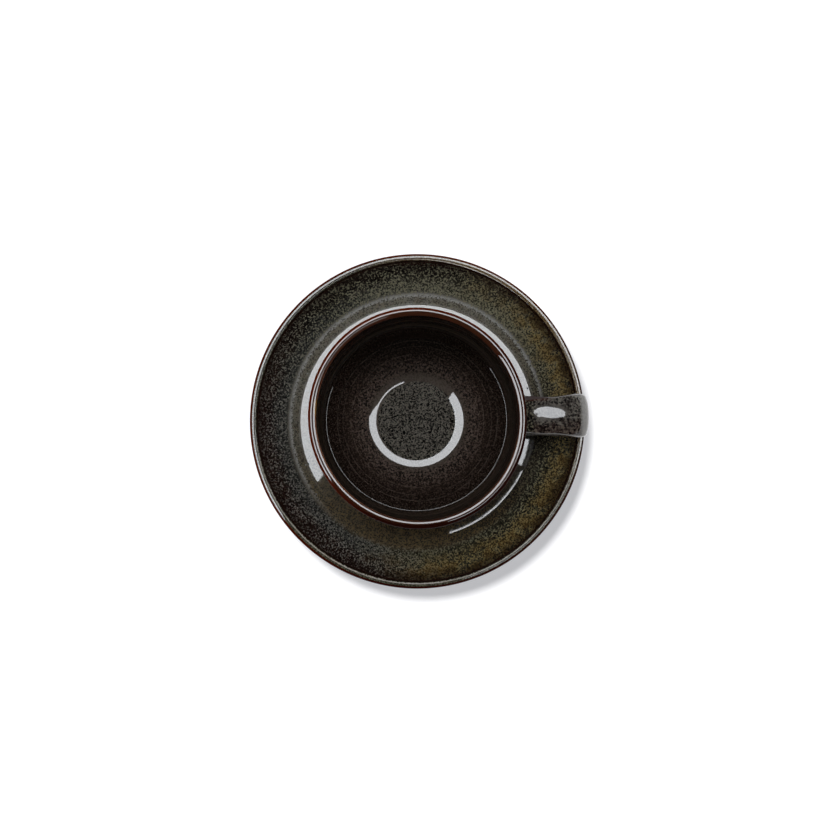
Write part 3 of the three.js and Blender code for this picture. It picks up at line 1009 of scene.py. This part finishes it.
def handle_glaze():
    g = Glaze("handle_glaze")
    blotch = g.noise(3.5, 4, 0.6, shift=7)
    speck = g.specks(1.1, 31)
    base = g.over(g.fade(blotch, 0.4, 0.62), STRAP_GREY, STRAP_PALE)
    # Fewer specks where the highlight falls on the arm.
    shift = (-HIGHLIGHT_PATCH_X / HIGHLIGHT_PATCH_LENGTH, -HIGHLIGHT_PATCH_Y / HIGHLIGHT_PATCH_WIDTH, 0)
    highlight_patch = g.node("Mapping", [g.spot, shift, None, (1 / HIGHLIGHT_PATCH_LENGTH, 1 / HIGHLIGHT_PATCH_WIDTH, 0)])
    highlight_patch = g.fade(g.length(highlight_patch), 1.15, 0.85)
    base = speckled(g, base, speck, g.between(highlight_patch, 1.0, 0.15), STRAP_FLECK)
    low = g.fade(g.wobble(g.y, blotch, 9), 0, -6)
    base = g.over(g.times(low, 0.7), base, speckled(g, STRAP_PLUM, speck, 0.9, PLUM_FLECK))
    base = g.over(g.times(g.fade(blotch, 0.44, 0.34), 0.7), base, STRAP_BLOTCH)
    # Painted shade: darker where the strap meets the wall under the rim.
    root = g.fade(g.wobble(g.radius, blotch, 3), 52, 48.5)
    base = g.over(g.times(root, 0.85), base, speckled(g, ROOT_SHADE, speck, 0.8))
    rust = g.times(g.fade(g.wobble(g.y, blotch, 2), 6.0, 7.0), g.fade(g.x, 60, 53))
    base = g.over(g.times(rust, 0.45), base, RUST)
    side = g.fade(g.math("ABSOLUTE", g.split(g.normal)[1]), 0.5, 0.85)
    base = g.over(g.times(side, 0.8), base, STRAP_SIDE)
    # Painted reflection: a pale band round the outer bend of the handle.
    bend = g.fade(g.wobble(g.x, blotch, 1), 70, 72)
    base = g.over(g.times(bend, 0.7), base, BEND_REFLECTION)
    upper_root = g.times(side, g.fade(g.y, 5, 6.5), g.fade(g.x, 60, 54))
    base = g.over(upper_root, base, ROOT_RED)
    return g.finish(base, g.between(upper_root, 0.03, 0.7), g.bump(speck, 0.0002), STRAP_IOR)


# Stage
CAMERA_DISTANCE = 1.21
CAMERA_RISE = math.radians(88.21)
CAMERA_SIDE = math.radians(0.37)
CAMERA_LENS = 117
CAMERA_SENSOR = 36
CAMERA_NEAR = 0.05
CAMERA_ROLL = math.radians(-1.15)
AIM = Vector((-0.00095, 0.00276, 0.016))
PANEL_HEIGHT = 1.2
PANEL_LIGHT = 9.7
PANEL_COLOUR = (0.96, 0.99, 1.03, 1)
HOLE_CENTRE = Vector((0.0085, 0.0345))
OUTER_CENTRE = HOLE_CENTRE - Vector((0.016, 0))
ARC_DEGREES = 6


def arc(width, start, end, depth=None, centre=HOLE_CENTRE):
    """Points on a circle or oval round the hole for the camera, between two angles in degrees."""
    steps = max(1, round(abs(end - start) / ARC_DEGREES))
    turns = [math.radians(start + (end - start) * k / steps) for k in range(steps + 1)]
    return [centre + Vector((width * math.cos(t), (depth or width) * math.sin(t))) for t in turns]


# Outline of the overhead panel in metres: along the hole, round a sliver in front and back outside
PANEL_OUTLINE = [
    *arc(0.096, 208.5, -24),
    *arc(0.1012, -24, -8),
    *arc(0.1066, -8, -24),
    *arc(0.1028, -27, -75),
    *arc(0.136, -75, -27),
    (0.178, -0.027),
    (0.221, -0.022),
    (0.265, -0.003),
    *arc(0.2975, -8, 221.5, 0.265, OUTER_CENTRE),
    *arc(0.2, 215, 214.5),
    *arc(0.115, 213.5, 212.5),
]
ROOM_LIGHT = 1.3
HORIZON_TOP = 0.1
HORIZON_FOOT = 0.02
TABLE_SIZE = 6
KEY_STRENGTH = 4.2
KEY_LEAN = math.radians(22)
KEY_FROM = math.radians(127)
KEY_WIDTH = math.radians(14)
TABLE_WHITE = 0.5
TABLE_GLOSS = 1.0
TABLE_SHADE = (0.48, 0.485, 0.505, 1)


def make_camera():
    data = bpy.data.cameras.new("camera")
    data.lens = CAMERA_LENS
    data.sensor_width = CAMERA_SENSOR
    data.clip_start = CAMERA_NEAR
    camera = bpy.data.objects.new("camera", data)
    bpy.context.scene.collection.objects.link(camera)
    back = Vector((
        -math.sin(CAMERA_SIDE),
        -math.cos(CAMERA_RISE),
        math.sin(CAMERA_RISE),
    )).normalized()
    right = Vector((0, 1, 0)).cross(back).normalized()
    camera.location = AIM + back * CAMERA_DISTANCE
    camera.rotation_euler = Matrix((right, back.cross(right), back)).transposed().to_euler()
    camera.rotation_euler.rotate_axis("Z", CAMERA_ROLL)
    bpy.context.scene.camera = camera


def panel_light():
    glow = bpy.data.materials.new("panel_light")
    glow.use_nodes = True
    nodes = glow.node_tree.nodes
    nodes.clear()
    light = nodes.new("ShaderNodeEmission")
    light.inputs["Color"].default_value = PANEL_COLOUR
    light.inputs["Strength"].default_value = PANEL_LIGHT
    out = nodes.new("ShaderNodeOutputMaterial")
    glow.node_tree.links.new(light.outputs[0], out.inputs[0])
    return glow


def make_panel(pieces):
    """The overhead light: a drawn outline, filled, that lights the pieces and that no camera sees."""
    start = (PANEL_OUTLINE[0][0], PANEL_OUTLINE[0][1], PANEL_HEIGHT)
    steps = [(b[0] - a[0], b[1] - a[1], 0) for a, b in zip(PANEL_OUTLINE, PANEL_OUTLINE[1:])]
    panel = drawn("overhead_panel", start, steps)
    bpy.ops.mesh.select_all(action="SELECT")
    bpy.ops.mesh.edge_face_add()
    bpy.ops.object.mode_set(mode="OBJECT")
    panel.data.materials.append(panel_light())
    panel.visible_camera = False
    panel.visible_shadow = False
    lit = bpy.data.collections.new("lit_by_panel")
    for piece in pieces:
        lit.objects.link(piece)
    panel.light_linking.receiver_collection = lit


def make_table():
    """A white table that keeps a pale level in the shade. The key lifts the rest to white."""
    select_none()
    bpy.ops.mesh.primitive_plane_add(size=TABLE_SIZE)
    table = bpy.context.object
    table.name = "table"
    white = bpy.data.materials.new("table_white")
    white.use_nodes = True
    tree = white.node_tree
    shader = tree.nodes["Principled BSDF"]
    shader.inputs["Base Color"].default_value = (TABLE_WHITE, TABLE_WHITE, TABLE_WHITE, 1)
    shader.inputs["Roughness"].default_value = 1
    shader.inputs["Specular IOR Level"].default_value = 0
    shader.inputs["Emission Color"].default_value = TABLE_SHADE
    path = tree.nodes.new("ShaderNodeLightPath")
    seen = tree.nodes.new("ShaderNodeMath")
    seen.operation = "MULTIPLY_ADD"
    seen.inputs[1].default_value = TABLE_GLOSS
    tree.links.new(path.outputs["Is Glossy Ray"], seen.inputs[0])
    tree.links.new(path.outputs["Is Camera Ray"], seen.inputs[2])
    tree.links.new(seen.outputs[0], shader.inputs["Emission Strength"])
    table.data.materials.append(white)
    return table


def make_key(table, saucer):
    """A soft lamp from the upper left that only gives the table the saucer's shadow."""
    data = bpy.data.lights.new("table_key", "SUN")
    data.energy = KEY_STRENGTH
    data.angle = KEY_WIDTH
    key = bpy.data.objects.new("table_key", data)
    bpy.context.scene.collection.objects.link(key)
    source = Vector((
        math.sin(KEY_LEAN) * math.cos(KEY_FROM),
        math.sin(KEY_LEAN) * math.sin(KEY_FROM),
        math.cos(KEY_LEAN),
    ))
    key.rotation_euler = source.to_track_quat("Z", "Y").to_euler()
    lit = bpy.data.collections.new("lit_by_table_key")
    lit.objects.link(table)
    key.light_linking.receiver_collection = lit
    shading = bpy.data.collections.new("shading_the_table")
    shading.objects.link(saucer)
    key.light_linking.blocker_collection = shading


def make_room():
    """White where the camera looks past the table, and for reflections bright only at the horizon."""
    world = bpy.data.worlds.new("room")
    bpy.context.scene.world = world
    world.use_nodes = True
    tree = world.node_tree
    tree.nodes.clear()
    path = tree.nodes.new("ShaderNodeLightPath")
    seen = tree.nodes.new("ShaderNodeBackground")
    room = tree.nodes.new("ShaderNodeBackground")
    room.inputs["Strength"].default_value = ROOM_LIGHT
    mix = tree.nodes.new("ShaderNodeMixShader")
    out = tree.nodes.new("ShaderNodeOutputWorld")
    place = tree.nodes.new("ShaderNodeTexCoord")
    parts = tree.nodes.new("ShaderNodeSeparateXYZ")
    tree.links.new(place.outputs["Generated"], parts.inputs[0])
    height = tree.nodes.new("ShaderNodeMapRange")
    height.interpolation_type = "SMOOTHSTEP"
    for socket, value in zip(height.inputs[1:5], (HORIZON_FOOT, HORIZON_TOP, 1.0, 0.0)):
        socket.default_value = value
    tree.links.new(parts.outputs[2], height.inputs[0])
    tree.links.new(height.outputs[0], room.inputs["Color"])
    seen.inputs["Color"].default_value = (1, 1, 1, 1)
    tree.links.new(path.outputs["Is Camera Ray"], mix.inputs[0])
    tree.links.new(room.outputs[0], mix.inputs[1])
    tree.links.new(seen.outputs[0], mix.inputs[2])
    tree.links.new(mix.outputs[0], out.inputs[0])


def dress(piece, glaze, body, node):
    piece.data.materials.clear()
    piece.data.materials.append(glaze)
    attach(piece, body)
    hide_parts(node)


saucer_plate = make_saucer()
cup_bowl = make_cup()
cup_strap = make_handle()
dress(saucer_plate, saucer_glaze(), "saucer", "saucer")
dress(cup_bowl, cup_glaze(), "cup", "cup_body")
dress(cup_strap, handle_glaze(), "cup", "cup_handle")
make_camera()
make_panel([saucer_plate, cup_bowl, cup_strap])
make_key(make_table(), saucer_plate)
make_room()
bpy.context.scene.view_settings.view_transform = "Standard"
